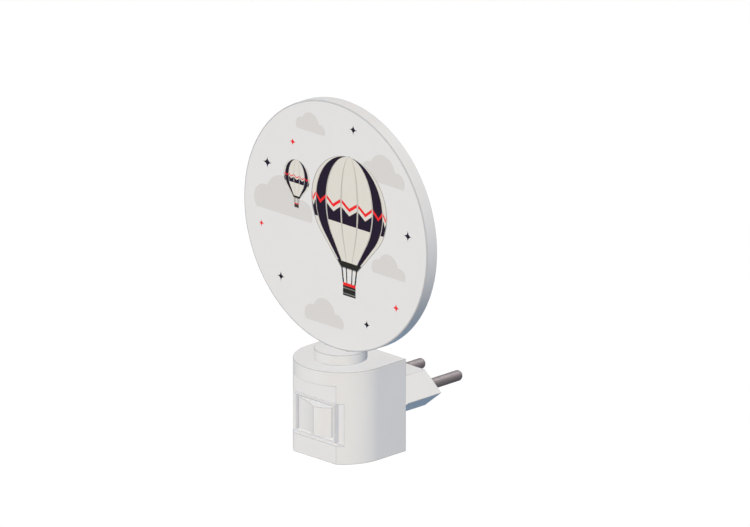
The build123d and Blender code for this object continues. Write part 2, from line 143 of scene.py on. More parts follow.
class PlugSizes(bpy.types.PropertyGroup):
    """Sizes of the plug nose, its pins and the screw holes beside it."""

    width: length("Width", "Plug nose across its two pointed sides", 38.0)
    flat: length("Flat", "Width of the plug nose's flat top", 21.0)
    height: length("Height", "Height of the plug nose", 13.7)
    edge: length("Edge", "Rounding of the plug nose's edges", 0.3)
    pin_radius: length("Pin radius", "Half the thickness of a pin", 2.0)
    pin_tip: length("Pin tip", "Rounding of a pin's tip", 1.6)
    root_radius: length("Root radius", "Half the thickness of a pin inside the nose", 2.4)
    root_depth: length("Root depth", "Depth of a pin's root inside the nose", 7.0)
    flange: length("Flange", "Thickness of the flange behind the root", 1.2)
    tail_radius: length("Tail radius", "Half the thickness of a pin's tail", 1.2)
    pin_gap: length("Pin gap", "Joint line round a pin", 0.03)
    head_radius: length("Screw head", "Half the width of a cover screw's head", 2.0)
    head_depth: length("Screw depth", "Depth of the holes for the screw heads", 1.3)
    head_gap: length("Screw gap", "Room round a screw", 0.2)
    shaft_radius: length("Screw shaft", "Half the width of a cover screw's shaft", 0.8)
    pilot_gap: length("Pilot gap", "Room round a screw's shaft in its boss", 0.05)
    wall: length("Nose wall", "Thickness of the plug nose's sides", 1.8)
    end_wall: length("Nose end", "Thickness of the plug nose's end", 3.0)
    boss_wall: length("Boss wall", "Thickness of the bosses round the pins' roots", 1.2)


class DiscSizes(bpy.types.PropertyGroup):
    """Sizes of the disc and of the collar that holds it."""

    edge: length("Disc edge", "Rounding of the disc's rim", 0.3)
    # A painted shade line along the edge of the disc's front
    painted_shade_line: length("Rim line", "Rubbed line along the edge of the disc's front", 0.25)
    foot_width: length("Foot", "Width of the disc's foot in the collar", 12.0)
    foot_setback: length("Foot setback", "Foot behind each face of the disc", 0.8)
    foot_gap: length("Foot gap", "Joint line round the foot", 0.1)
    foot_rise: length("Foot rise", "How far the foot runs up into the disc", 1.5)
    collar_height: length("Collar height", "Height of the collar above the housing", 3.9)
    collar_edge: length("Collar edge", "Rounding of the collar's upper rim", 0.3)
    spigot_radius: length("Spigot", "Half the width of the collar inside the housing", 8.0)
    spigot_depth: length("Spigot depth", "Depth of the collar inside the housing", 4.4)
    spigot_gap: length("Spigot gap", "Joint line round the spigot", 0.1)
    rim_steps: count("Rim steps", "Faces round the rim of the disc", 240)


class SwitchSizes(bpy.types.PropertyGroup):
    """Sizes of the rocker switch."""

    case_width: length("Case width", "Width of the box behind the bezel", 19.0)
    case_height: length("Case height", "Height of the box behind the bezel", 13.6)
    case_gap: length("Case gap", "Joint line between the box and the housing", 0.1)
    case_back: length("Case back", "Thickness of the box's back", 1.2)
    opening_width: length("Opening width", "Width of the opening for the rocker", 17.2)
    opening_height: length("Opening height", "Height of the opening for the rocker", 11.7)
    bezel_edge: length("Bezel edge", "Rounding of the bezel's edges", 0.12)
    mouth_step: length("Mouth step", "How far the mouth stands back round the opening", 0.6)
    mouth_depth: length("Mouth depth", "Depth of the mouth in front of the opening", 1.3)
    mouth_slope: length("Mouth slope", "Sloped edge round the mouth", 0.35)
    end_radius: length("End radius", "Reach of the rocker's ends from its pivot", 8.45)
    height: length("Rocker height", "Height of the rocker", 11.2)
    skirt: length("Skirt", "Rocker behind its pivot", 1.5)
    ridge_side: length("Ridge side", "Ridge to the right of the pivot", 2.2)
    ridge_front: length("Ridge front", "Ridge in front of the pivot", 5.4)
    dished_front: length("Dished end", "Dished half's corner in front of the pivot", 1.75)
    domed_front: length("Domed end", "Domed half's corner in front of the pivot", 1.9)
    dish: length("Dish", "Hollow of the dished half", 0.5)
    dome: length("Dome", "Bulge of the domed half", 0.55)
    trunnion_radius: length("Trunnion", "Half the thickness of the rocker's trunnions", 1.1)
    trunnion: length("Trunnion length", "Trunnion beyond the rocker", 0.8)
    trunnion_gap: length("Trunnion gap", "Room round a trunnion", 0.05)
    wall: length("Rocker wall", "Thickness of the rocker's walls", 1.4)
    post_radius: length("Post radius", "Half the thickness of the rocker's post", 1.9)
    post_front: length("Post front", "Post in front of the pivot", 3.2)
    post_reach: length("Post reach", "Post behind the pivot", 4.4)
    post_lean: angle("Post lean", "Lean of the post to the side at rest", 5.5)
    bore_radius: length("Bore radius", "Half the width of the bore for the spring", 1.1)
    bore_front: length("Bore front", "Bore in front of the pivot", 1.6)
    edge: length("Rocker edge", "Rounding of the rocker's edges", 0.15)


class FinishColours(bpy.types.PropertyGroup):
    """Colours of the finishes, and how much grain and wear they show."""

    housing: colour("Housing", "White moulded plastic", (0.71, 0.708, 0.705))
    switch: colour("Switch", "White switch plastic", (0.72, 0.717, 0.713))
    disc: colour("Disc", "Opal plastic of the disc", (0.715, 0.712, 0.708))
    # Edge and rim tones are darker than the plastic: painted shade lines along rounded edges and
    # rims
    edge: colour("Edge", "Plastic along handled edges", (0.62, 0.623, 0.63))
    rim: colour("Rim", "Plastic along rims and along the edges of the switch", (0.47, 0.475, 0.485))
    pin: colour("Pins", "Dull nickel plating", (0.425, 0.38, 0.39))
    cream: colour("Cream", "Pale ink of the print", (0.68, 0.655, 0.60))
    navy: colour("Navy", "Dark ink of the print", (0.017, 0.011, 0.026))
    red: colour("Red", "Red ink of the print", (0.79, 0.026, 0.029))
    soot: colour("Soot", "Blackish ink of the print", (0.022, 0.022, 0.02))
    cloud: colour("Cloud", "Pale grey ink of the print", (0.632, 0.619, 0.607))
    grain: share("Grain", "Strength of the moulded grain", 0.12)
    blotch: share("Blotch", "How much a finish varies in tone", 0.03)


class StageSettings(bpy.types.PropertyGroup):
    """Camera, lights and floor."""

    azimuth: angle("Azimuth", "Camera to the right of the light's front", 45.0)
    elevation: angle("Elevation", "Camera above the horizon", 19.0)
    view_width: length("View width", "Width of what the camera sees", 271.9)
    aim_side: length("Aim to the side", "Middle of the view beside the housing's top", 11.67)
    aim_up: length("Aim up", "Middle of the view above the housing's top", 33.68)
    distance: length("Distance", "Camera from the middle of the view", 900.0)
    ambient: colour("Ambient", "Even light from all round", (0.042, 0.042, 0.042))
    reflected: colour("Reflected", "What glossy surfaces reflect", (0.13, 0.13, 0.13))
    backdrop: colour("Backdrop", "What the camera sees past the floor", (1.0, 1.0, 1.0))
    floor_glow: share("Floor glow", "Light that the floor gives by itself", 0.76)


def sidebar(context, names):
    """The groups of settings that the sidebar shows under these names."""
    return [getattr(context.scene, "night_light_" + name) for name in names.split()]


def select_only(piece):
    """Makes one piece the active and only selected one."""
    bpy.ops.object.select_all(action="DESELECT")
    piece.select_set(True)
    bpy.context.view_layer.objects.active = piece


def settle(name):
    """Names the primitive that was just added and puts its place into its mesh."""
    bpy.ops.object.transform_apply(location=True, rotation=True, scale=True)
    piece = bpy.context.object
    piece.name = name
    piece.data.name = name
    return piece


def add_block(name, low, high):
    """A box between two corners."""
    low, high = Vector(low), Vector(high)
    bpy.ops.object.select_all(action="DESELECT")
    bpy.ops.mesh.primitive_cube_add(size=1, location=(low + high) / 2, scale=high - low)
    return settle(name)


def add_bar(name, steps, radius, start, end):
    """A round bar between two points."""
    start, end = Vector(start), Vector(end)
    along = end - start
    bpy.ops.object.select_all(action="DESELECT")
    bpy.ops.mesh.primitive_cylinder_add(
        vertices=steps,
        radius=radius,
        depth=along.length,
        location=(start + end) / 2,
        rotation=along.to_track_quat("Z", "Y").to_euler(),
    )
    return settle(name)


class Editing:
    """Edit mode on one piece, left again when the with block ends."""

    def __init__(self, piece):
        self.piece = piece

    def __enter__(self):
        select_only(self.piece)
        bpy.ops.object.mode_set(mode="EDIT")
        return self

    def __exit__(self, *error):
        bpy.ops.object.mode_set(mode="OBJECT")

    def everything(self):
        """Selects the whole piece."""
        bpy.ops.mesh.select_all(action="SELECT")

    def pick(self, kind, test):
        """Selects the faces, edges or verts that pass a test, and stops if none does."""
        mode = {"faces": "FACE", "edges": "EDGE", "verts": "VERT"}[kind]
        bpy.ops.mesh.select_mode(type=mode)
        bpy.ops.mesh.select_all(action="DESELECT")
        mesh = bmesh.from_edit_mesh(self.piece.data)
        picked = [item for item in getattr(mesh, kind) if test(item)]
        for item in picked:
            item.select_set(True)
        bmesh.update_edit_mesh(self.piece.data, loop_triangles=False, destructive=False)
        if not picked:
            raise RuntimeError(f"{self.piece.name}: no {kind} to work on")

    def faces_along(self, axis, place=None):
        """Selects the faces that point along an axis, at a place on it if one is given."""
        axis = Vector(axis)

        def test(face):
            there = place is None or abs(face.calc_center_median().dot(axis) - place) < NEAR
            return there and face.normal.dot(axis) > FACING

        self.pick("faces", test)

    def pull(self, move):
        """Extrudes what is selected."""
        bpy.ops.mesh.extrude_region_move(TRANSFORM_OT_translate={"value": move})

    def tidy(self, merge=NEAR):
        """Merges points that lie close together and joins faces that lie in one plane."""
        self.everything()
        bpy.ops.mesh.remove_doubles(threshold=merge)
        bpy.ops.mesh.dissolve_limited(angle_limit=FLAT)

    def cut_behind(self, place):
        """Cuts off all that lies behind a point, and closes the cut."""
        self.everything()
        bpy.ops.mesh.bisect(
            plane_co=place, plane_no=(0, 1, 0), use_fill=True, clear_outer=True, threshold=NEAR
        )

    def round_edges(self, width, steps, test, finish=SECOND):
        """Rounds the sharp edges whose middle passes a test, and finishes the new faces."""

        def sharp(edge):
            middle = (edge.verts[0].co + edge.verts[1].co) / 2
            return edge.is_manifold and edge.calc_face_angle() > SHARP and test(middle)

        self.pick("edges", sharp)
        bpy.ops.mesh.bevel(
            offset=width, segments=steps, affect="EDGES", clamp_overlap=False, material=finish
        )

    def give_finish(self, number, test):
        """Gives the faces that pass a test another of the piece's finishes."""
        self.pick("faces", test)
        self.piece.active_material_index = number
        bpy.ops.object.material_slot_assign()


def combine(piece, tool, operation):
    """Cuts a tool out of a piece, joins it on or keeps what they share, and removes the tool."""
    select_only(piece)
    bpy.ops.object.modifier_add(type="BOOLEAN")
    modifier = piece.modifiers[-1]
    modifier.operation = operation
    modifier.solver = "EXACT"
    modifier.object = tool
    bpy.ops.object.modifier_apply(modifier=modifier.name)
    bpy.data.objects.remove(tool, do_unlink=True)


def carve(piece, low, high):
    """Cuts a box out of a piece."""
    combine(piece, add_block("cutter", low, high), "DIFFERENCE")


def drill(piece, steps, radius, start, end):
    """Cuts a round hole into a piece."""
    combine(piece, add_bar("drill", steps, radius, start, end), "DIFFERENCE")


def weld(piece, steps, radius, start, end):
    """Joins a round bar onto a piece."""
    combine(piece, add_bar("bar", steps, radius, start, end), "UNION")


def dress(piece, *materials):
    """Gives a piece its finishes; its faces start with the first one."""
    piece.data.materials.clear()
    for material in materials:
        piece.data.materials.append(material)


def polish(piece):
    """Smooth shading that keeps flat faces flat."""
    with Editing(piece) as edit:
        edit.everything()
        bpy.ops.mesh.remove_doubles(threshold=NEAR / 2)
        bpy.ops.mesh.dissolve_degenerate(threshold=NEAR / 2)
    bpy.ops.object.shade_smooth_by_angle(angle=SMOOTH)
    bpy.ops.object.modifier_add(type="WEIGHTED_NORMAL")
    modifier = piece.modifiers[-1]
    modifier.keep_sharp = True
    bpy.ops.object.modifier_apply(modifier=modifier.name)


def hand_over(piece, body, slot, *nodes):
    """Hangs a piece under the body it moves with and hides the CAD nodes it stands for."""
    piece.visible_diffuse = False
    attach(piece, body)
    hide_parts(*nodes)


class Channel:
    """A socket of a node tree, on which shader maths is written as plain arithmetic."""

    def __init__(self, tree, socket=None):
        self.tree = tree
        self.socket = socket

    def node(self, kind, inputs, output=0, stops=None, **settings):
        """Adds a node, makes its settings, then feeds its inputs, and gives back one output."""
        made = self.tree.nodes.new(kind)
        for key, value in settings.items():
            setattr(made, key, value)
        if stops:
            for element, (place, tone) in zip(made.color_ramp.elements, stops):
                element.position = place
                element.color = (*tone, 1.0)
        for key, value in inputs.items():
            if isinstance(value, Channel):
                self.tree.links.new(value.socket, made.inputs[key])
            else:
                made.inputs[key].default_value = value
        return Channel(self.tree, made.outputs[output] if made.outputs else None)

    def math(self, operation, *values):
        """A Math node on this value and any others."""
        return self.node("ShaderNodeMath", dict(enumerate((self, *values))), operation=operation)

    def __add__(self, other):
        return self.math("ADD", other)

    def __sub__(self, other):
        return self.math("SUBTRACT", other)

    def __rsub__(self, other):
        return self.node("ShaderNodeMath", {0: other, 1: self}, operation="SUBTRACT")

    def __mul__(self, other):
        return self.math("MULTIPLY", other)

    def __truediv__(self, other):
        return self.math("DIVIDE", other)

    def __rtruediv__(self, other):
        return self.node("ShaderNodeMath", {0: other, 1: self}, operation="DIVIDE")

    def __abs__(self):
        return self.math("ABSOLUTE")

    def __lt__(self, other):
        return self.math("LESS_THAN", other)

    def __gt__(self, other):
        return self.math("GREATER_THAN", other)

    def __and__(self, other):
        return self.math("MULTIPLY", other)

    def __or__(self, other):
        return self.math("MAXIMUM", other)

    __radd__ = __add__
    __rmul__ = __mul__
    __rand__ = __and__
    __ror__ = __or__

    def mix(self, low, high):
        """A colour between two, with this value as the share of the second."""
        tones = [tone if isinstance(tone, Channel) else (*tone, 1.0) for tone in (low, high)]
        inputs = {0: self, 6: tones[0], 7: tones[1]}
        return self.node("ShaderNodeMix", inputs, output=2, data_type="RGBA")

    def split(self):
        """The three numbers of a vector."""
        return [self.node("ShaderNodeSeparateXYZ", {0: self}, output=index) for index in range(3)]


# Repeats per metre of the noise in the finishes
CLOUDING = 70.0
TARNISH = 160.0
RUBBING = 260.0
PAPER = 300.0
SCUFFS = 420.0
SPECKLE = 1500.0
DRAWING = 2400.0
SCREEN = 2600.0
SPARKS = 3200.0
# Depth of the relief in metres, and the specular level of plastic
GRAIN_DEPTH = 0.00003
FINE_DEPTH = 0.00002
PLASTIC_SHINE = 0.18
# Stretch of a metal's marks along each axis
EVEN, DRAWN_LONG, DRAWN_SHORT = (1.0, 1.0, 1.0), (1.0, 0.05, 1.0), (1.0, 0.1, 1.0)
TINNED = (0.55, 0.55, 0.57)
BAND = 0.09  # half the width of a resistor's band, as a share of half its body's length


def shaded(tone, factor):
    """A colour made lighter or darker."""
    return tuple(min(1.0, part * factor) for part in tone)


def begin_finish(name):
    """A new material with nothing in it yet, and its Object coordinates."""
    material = bpy.data.materials.new(name)
    material.use_nodes = True
    material.node_tree.nodes.clear()
    return material, Channel(material.node_tree).node("ShaderNodeTexCoord", {}, output="Object")


def noise(place, scale, detail=2.0, roughness=0.5):
    """Noise of a scale given in repeats per metre."""
    inputs = {"Vector": place, "Scale": scale, "Detail": detail, "Roughness": roughness}
    return place.node("ShaderNodeTexNoise", inputs)


def end_finish(base, rough, height, strength, depth, **constants):
    """Puts colour, roughness and relief on a surface, with constants set on its own sockets."""
    bump = base.node("ShaderNodeBump", {"Height": height, "Strength": strength, "Distance": depth})
    inputs = {"Base Color": base, "Roughness": rough, "Normal": bump}
    inputs.update({key.replace("_", " "): value for key, value in constants.items()})
    surface = base.node("ShaderNodeBsdfPrincipled", inputs)
    base.node("ShaderNodeOutputMaterial", {"Surface": surface})


def moulded_plastic(name, tone, roughness, grain, blotch):
    """Injection-moulded plastic: an even tone with faint clouding and a fine spark-eroded grain."""
    if name in bpy.data.materials:
        return bpy.data.materials[name]
    material, place = begin_finish(name)
    clouding = noise(place, CLOUDING, 4.0)
    sparks = noise(place, SPARKS, 1.0)
    scuffs = noise(place, SCUFFS, 3.0, 0.65)
    base = clouding.mix(shaded(tone, 1 - blotch), shaded(tone, 1 + blotch))
    rough = roughness + (scuffs - 0.5) * 0.16
    relief = sparks + scuffs * 0.4
    end_finish(base, rough, relief, grain, GRAIN_DEPTH, Specular_IOR_Level=PLASTIC_SHINE)
    return material


def housing_finish(colours):
    """Plastic of the housing, its cover and the collar."""
    return moulded_plastic("moulded_white", colours.housing, 0.56, colours.grain, colours.blotch)


def edge_finish(colours, name="rubbed_edge"):
    """The same plastic along edges, rubbed smooth, in a greyer tone that paints a shade line along
    each edge.
    """
    if name in bpy.data.materials:
        return bpy.data.materials[name]
    material, place = begin_finish(name)
    # Both tones paint a shade line along edges; the rim tone is the darker one
    tone = colours.edge if name == "rubbed_edge" else colours.rim
    rub = noise(place, RUBBING, 3.0, 0.6)
    base = rub.mix(shaded(tone, 0.92), shaded(tone, 1.1))
    rough = 0.36 + rub * 0.14
    end_finish(base, rough, rub, colours.grain, FINE_DEPTH, Specular_IOR_Level=PLASTIC_SHINE)
    return material


def switch_finish(colours):
    """Smoother plastic of the switch."""
    grain, blotch = colours.grain / 2, colours.blotch / 2
    return moulded_plastic("satin_white", colours.switch, 0.46, grain, blotch)


def disc_finish(colours):
    """Opal plastic of the disc's back and rim."""
    grain, blotch = colours.grain / 2, colours.blotch / 2
    return moulded_plastic("opal_white", colours.disc, 0.5, grain, blotch)


# The print: places across and up from the disc's middle, and sizes, all in millimetres
CLOUDS = ((-27, -2, 12), (24, 22, 9), (27, -13, 7), (-13, 33, 6), (-6, -39, 8))
NAVY_STARS = ((-35, 16, 2.6), (9, 39, 2.2), (37, 5, 2.4), (16, -34, 2.0), (-28, -26, 2.2))
RED_STARS = ((-22, 27, 1.8), (31, -24, 2.0), (-38, -8, 1.6))
BALLOONS = ((-20, 14, 6.5), (7, 9, 19.0))
PUFFS = ((-0.75, 0.30, 0.48), (0.0, 0.50, 0.72), (0.85, 0.22, 0.42))  # shares of a cloud's size
GORES = 7  # strips of cloth on the side of a balloon that shows


def spot(x, z, place, radius):
    """A round spot."""
    dx, dz = x - place[0], z - place[1]
    return (dx * dx + dz * dz) < radius * radius


def cloud(x, z, place, size):
    """Three puffs on a flat base."""
    across, base = place
    left, middle, right = (
        spot(x, z, (across + side * size, base + up * size), reach * size)
        for side, up, reach in PUFFS
    )
    return (left | middle | right) & (z > base)


def star(x, z, place, size):
    """A four-pointed star."""
    dx, dz = abs(x - place[0]), abs(z - place[1])
    return (dx.math("SQRT") + dz.math("SQRT")) < math.sqrt(size)


def paint_balloon(base, x, z, place, radius, colours):
    """A hot-air balloon: a striped envelope with a band and seams, four ropes and a basket."""
    # All sizes here are shares of the envelope's radius
    dx, dz = (x - place[0]) / radius, (z - place[1]) / radius
    lean = math.radians(42)
    mouth = 0.22
    mouth_z = (mouth * math.cos(lean) - 1) / math.sin(lean)
    rope_drop = 0.30
    basket_top = mouth_z - rope_drop
    basket_low = basket_top - 0.26
    basket_half = 0.17
    tapered = dz < -math.sin(lean)
    crown = (1 - dz * dz).math("MAXIMUM", 0.0).math("SQRT")
    skirt = (dz * math.sin(lean) + 1) / math.cos(lean)
    half = tapered * skirt + (1 - tapered) * crown
    envelope = (abs(dx) < half) & (dz > mouth_z)
    sideways = dx / half.math("MAXIMUM", 0.001)
    turn = sideways.math("MAXIMUM", -1.0).math("MINIMUM", 1.0).math("ARCSINE")
    gore = turn * (GORES / math.pi) + GORES / 2
    within = gore.math("FRACT")
    from_middle = abs(gore.math("FLOOR") - GORES // 2)
    dark = (from_middle > 1.5) & (from_middle < 2.5)
    seam = (within < 0.045) | (within > 0.955)
    zigzag = abs(within - 0.5) * 0.30 + 0.05
    red_line = abs(dz - zigzag + 0.12) < 0.035
    navy_band = (dz < zigzag - 0.24) & (dz > -0.38)
    throat = dz < mouth_z + 0.12
    rope_start, rope_end = mouth * 0.9, basket_half * 0.92
    rope_x = (mouth_z - dz) * ((rope_end - rope_start) / rope_drop) + rope_start
    outer_ropes = abs(abs(dx) - rope_x) < 0.018
    inner_ropes = abs(abs(dx) - rope_x * 0.4) < 0.014
    ropes = (outer_ropes | inner_ropes) & (dz < mouth_z) & (dz > basket_top)
    basket = (abs(dx) < basket_half) & (dz < basket_top) & (dz > basket_low)
    weave = ((dz * 9.0).math("FRACT") < 0.16) & basket
    rim = basket & (dz > basket_top - 0.06)
    outline = (abs(dx) < half + 0.022) & (dz < 1.02) & (dz > mouth_z - 0.02)
    base = outline.mix(base, shaded(colours.cloud, 0.62))
    base = envelope.mix(base, colours.cream)
    base = (envelope & dark).mix(base, colours.navy)
    base = (envelope & navy_band & (1 - dark)).mix(base, colours.navy)
    base = (envelope & red_line).mix(base, colours.red)
    base = (envelope & seam).mix(base, shaded(colours.cream, 0.72))
    base = (envelope & throat).mix(base, colours.soot)
    base = ropes.mix(base, colours.soot)
    base = basket.mix(base, colours.soot)
    base = weave.mix(base, shaded(colours.cream, 0.35))
    return rim.mix(base, colours.red)


def print_finish(colours, middle, reach):
    """The front of the disc: opal plastic with a print of balloons among clouds and stars, and a
    painted shade line round its edge.
    """
    material, place = begin_finish("printed_opal")
    across, _, high = place.split()
    x = (across - middle.x) * THOUSAND
    z = (high - middle.z) * THOUSAND
    clouding = noise(place, CLOUDING, 4.0)
    base = clouding.mix(shaded(colours.disc, 0.99), shaded(colours.disc, 1.01))
    for left, up, size in CLOUDS:
        base = cloud(x, z, (left, up), size).mix(base, colours.cloud)
    for stars, ink in ((NAVY_STARS, colours.navy), (RED_STARS, colours.red)):
        for left, up, size in stars:
            base = star(x, z, (left, up), size).mix(base, ink)
    for left, up, size in BALLOONS:
        base = paint_balloon(base, x, z, (left, up), size, colours)
    # A ring of the rim tone round the front's edge: a painted shade line
    from_middle = (x * x + z * z).math("SQRT")
    base = (from_middle > reach * THOUSAND).mix(base, colours.rim)
    screen = noise(place, SCREEN, 1.0)
    rough = 0.46 + screen * 0.08
    end_finish(base, rough, screen, colours.grain / 3, FINE_DEPTH, Specular_IOR_Level=0.12)
    return material


def metal(name, tone, roughness, streak, stretch, spread=0.16, metallic=1.0):
    """Bare or plated metal, with fine drawing marks along one axis."""
    material, place = begin_finish(name)
    drawn = place.node("ShaderNodeMapping", {"Vector": place, "Scale": stretch})
    marks = noise(drawn, DRAWING, 3.0, 0.6)
    tarnish = noise(place, TARNISH, 4.0, 0.6)
    base = tarnish.mix(shaded(tone, 1 - spread), shaded(tone, 1 + spread))
    rough = roughness + (marks - 0.5) * streak
    end_finish(base, rough, marks, 0.10, FINE_DEPTH, Metallic=metallic)
    return material


def flecked(name, tone, fleck, scale, roughness):
    """A filled or coated material with flecks of a second tone."""
    material, place = begin_finish(name)
    grains = noise(place, scale, 4.0, 0.7)
    stops = ((0.35, tone), (0.75, fleck))
    base = grains.node("ShaderNodeValToRGB", {"Fac": grains}, stops=stops)
    rough = roughness + (grains - 0.5) * 0.2
    end_finish(base, rough, grains, 0.15, GRAIN_DEPTH, Specular_IOR_Level=0.3)
    return material


def banded(name, tone, bands, middle, half):
    """A lacquered resistor with colour bands round it."""
    material, place = begin_finish(name)
    high = place.split()[2]
    along = (high - middle) / half
    speckle = noise(place, SPECKLE, 2.0)
    base = speckle.mix(shaded(tone, 0.92), shaded(tone, 1.08))
    for where, ink in bands:
        base = (abs(along - where) < BAND).mix(base, ink)
    base = (abs(along) > 1.0).mix(base, TINNED)
    rough = 0.30 + speckle * 0.1
    end_finish(base, rough, speckle, 0.08, FINE_DEPTH, Specular_IOR_Level=0.4)
    return material


def dress_node(node, material):
    """Puts a finish on a CAD node that keeps its own shape."""
    dress(frame["nodes"][node], material)


def horseshoe(name, steps, radius, axis_y, rear_y, low_z, high_z):
    """A half round in front with straight sides that run back to a flat rear."""
    piece = add_bar(name, steps, radius, (0, axis_y, low_z), (0, axis_y, high_z))
    with Editing(piece) as edit:
        edit.cut_behind((0, axis_y, low_z))
        edit.faces_along((0, 1, 0))
        edit.pull((0, rear_y - axis_y, 0))
        edit.tidy()
    return piece


def screw_places(sizes):
    """Where the four cover screws are, across and up."""
    low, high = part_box("cover_screws")
    reach = sizes.head_radius
    heights = (low.z + reach, high.z - reach)
    return [(x, z) for x in (low.x + reach, high.x - reach) for z in heights]


def six_sided(name, sizes, inset, start_y, end_y):
    """A bar with the plug nose's six-sided outline, drawn in by an inset."""
    run, rise = (sizes.width - sizes.flat) / 2, sizes.height / 2
    half_height = rise - inset
    half_width = sizes.width / 2 - inset * math.hypot(run, rise) / rise
    half_flat = half_width - run * half_height / rise
    bar = add_bar(name, 6, half_width, (0, start_y, 0), (0, end_y, 0))
    corner = half_width * math.sin(SIXTH)
    with Editing(bar) as edit:
        edit.everything()
        bpy.ops.transform.rotate(value=SIXTH / 2, orient_axis="Y", center_override=(0, 0, 0))
        edit.pick("verts", lambda vert: abs(vert.co.z) > corner / 2)
        stretch = (half_flat / (half_width / 2), 1, half_height / corner)
        bpy.ops.transform.resize(value=stretch, center_override=(0, 0, 0))
    return bar


class NIGHTLIGHT_OT_housing(bpy.types.Operator):
    """Models the round-fronted housing with its flat face, switch channel, cavity and openings"""

    bl_idname = "nightlight.housing"
    bl_label = "Housing"

    def execute(self, context):
        sizes, plug, disc, switch = sidebar(context, "housing plug disc switch")
        colours = context.scene.night_light_finish
        low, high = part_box("front_housing")
        bezel_low, bezel_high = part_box("switch_frame")
        disc_low, disc_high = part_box("light_disc")
        collar_y = (disc_low.y + disc_high.y) / 2
        switch_z = (bezel_low.z + bezel_high.z) / 2
        flat_y = bezel_low.y
        channel_y = flat_y + sizes.channel_depth
        panel_y = channel_y + sizes.wall
        axis_y = low.y + high.x
        wide = high.x + SPARE
        shell = horseshoe("housing_shell", sizes.round_steps, high.x, axis_y, high.y, low.z, high.z)
        radius = high.x - sizes.wall
        inner_z = (low.z + sizes.wall, high.z - sizes.wall)
        cavity = horseshoe("cavity", sizes.round_steps, radius, axis_y, high.y + SPARE, *inner_z)
        carve(cavity, (-wide, low.y, low.z), (wide, panel_y, high.z))
        combine(shell, cavity, "DIFFERENCE")
        rim = sizes.cover_rim
        seat_y = high.y - sizes.cover_depth
        boss_y = seat_y - sizes.boss_length
        pilot = plug.shaft_radius + plug.pilot_gap
        pilot_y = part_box("cover_screws")[0].y - plug.pilot_gap
        for x, z in screw_places(plug):
            weld(shell, BOSS_STEPS, sizes.boss_radius, (x, boss_y, z), (x, seat_y + SPARE, z))
            drill(shell, SHAFT_STEPS, pilot, (x, pilot_y, z), (x, high.y, z))
        wide_rim, end_y = high.x - rim, high.y + SPARE
        carve(shell, (-wide_rim, seat_y, low.z + rim), (wide_rim, end_y, high.z - rim))
        carve(shell, (-wide, low.y - SPARE, low.z - SPARE), (wide, flat_y, high.z - sizes.brow))
        channel_z = (bezel_low.z - sizes.channel_below, bezel_high.z + sizes.channel_above)
        carve(shell, (-wide, low.y - SPARE, channel_z[0]), (wide, channel_y, channel_z[1]))
        half = switch.case_width / 2 + switch.case_gap
        tall = switch.case_height / 2 + switch.case_gap
        carve(
            shell,
            (-half, channel_y - SPARE, switch_z - tall),
            (half, panel_y + SPARE, switch_z + tall),
        )
        hole = disc.spigot_radius + disc.spigot_gap
        hole_z = (inner_z[1] - SPARE, high.z + SPARE)
        drill(shell, SPIGOT_STEPS, hole, (0, collar_y, hole_z[0]), (0, collar_y, hole_z[1]))
        # The edge finishes paint shade lines along the housing's rounded edges and rims
        edge, worn_and_shaded = edge_finish(colours), edge_finish(colours, "worn_rim")
        dress(shell, housing_finish(colours), edge, worn_and_shaded)

        def on_rim(middle):
            on_end = min(abs(middle.z - low.z), abs(middle.z - high.z)) < NEAR
            return on_end or abs(middle.y - high.y) < NEAR

        def on_face(middle):
            between_ends = low.z + sizes.edge < middle.z < high.z - sizes.edge
            return between_ends and middle.y < channel_y + NEAR

        # The channel's lower lip gets the darker rim finish: a painted shade line on a bevel that
        # the lights make bright
        def on_shaded_lip(face):
            rise = abs(face.calc_center_median().z - channel_z[0])
            return face.material_index == SECOND and rise < sizes.edge

        with Editing(shell) as edit:
            edit.tidy()
            edit.round_edges(sizes.edge, ROUNDED, on_rim, THIRD)
            edit.round_edges(sizes.edge, ROUNDED, on_face)
            edit.give_finish(THIRD, on_shaded_lip)
        polish(shell)
        hand_over(shell, "base", "housing_white", "front_housing")
        return {"FINISHED"}


